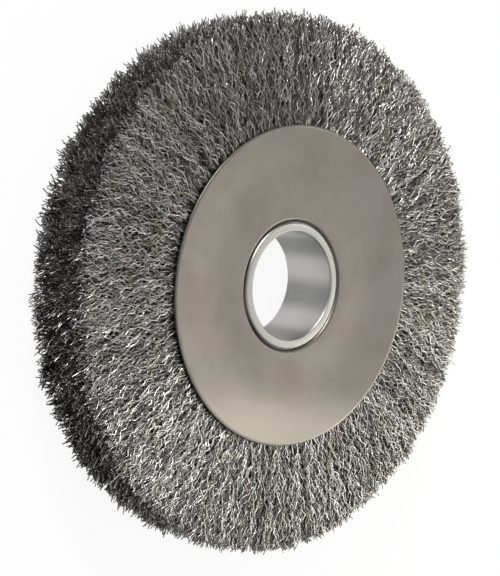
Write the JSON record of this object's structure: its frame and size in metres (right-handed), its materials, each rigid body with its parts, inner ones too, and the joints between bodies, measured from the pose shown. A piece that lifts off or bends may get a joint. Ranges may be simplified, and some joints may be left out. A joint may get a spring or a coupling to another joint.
{
  "type": "wire wheel brush",
  "caption": "Wide wheel of crimped steel wires, clamped between dished side plates on a rolled sleeve that lines the arbor hole, for cleaning metal on a bench grinder.",
  "frame": {"origin": "middle of the arbor hole, half way through the wheel", "axes": "+Z along the spindle, out of the front side plate; the wheel is round about Z and lies on its rear face"},
  "size_m": [0.2498, 0.2496, 0.041],
  "materials": {
    "plate_steel": "satin sheet steel, bare",
    "sleeve_steel": "bright rolled steel tube",
    "ring_steel": "plain steel bar",
    "wire_steel": "crimped grey steel wire with bright glints"
  },
  "bodies": {
    "root": {"arbor_sleeve": "sleeve_steel", "front_plate": "plate_steel", "rear_plate": "plate_steel", "front_ring": "ring_steel", "rear_ring": "ring_steel", "front_wires": "wire_steel", "rear_wires": "wire_steel"}
  },
  "joints": []
}
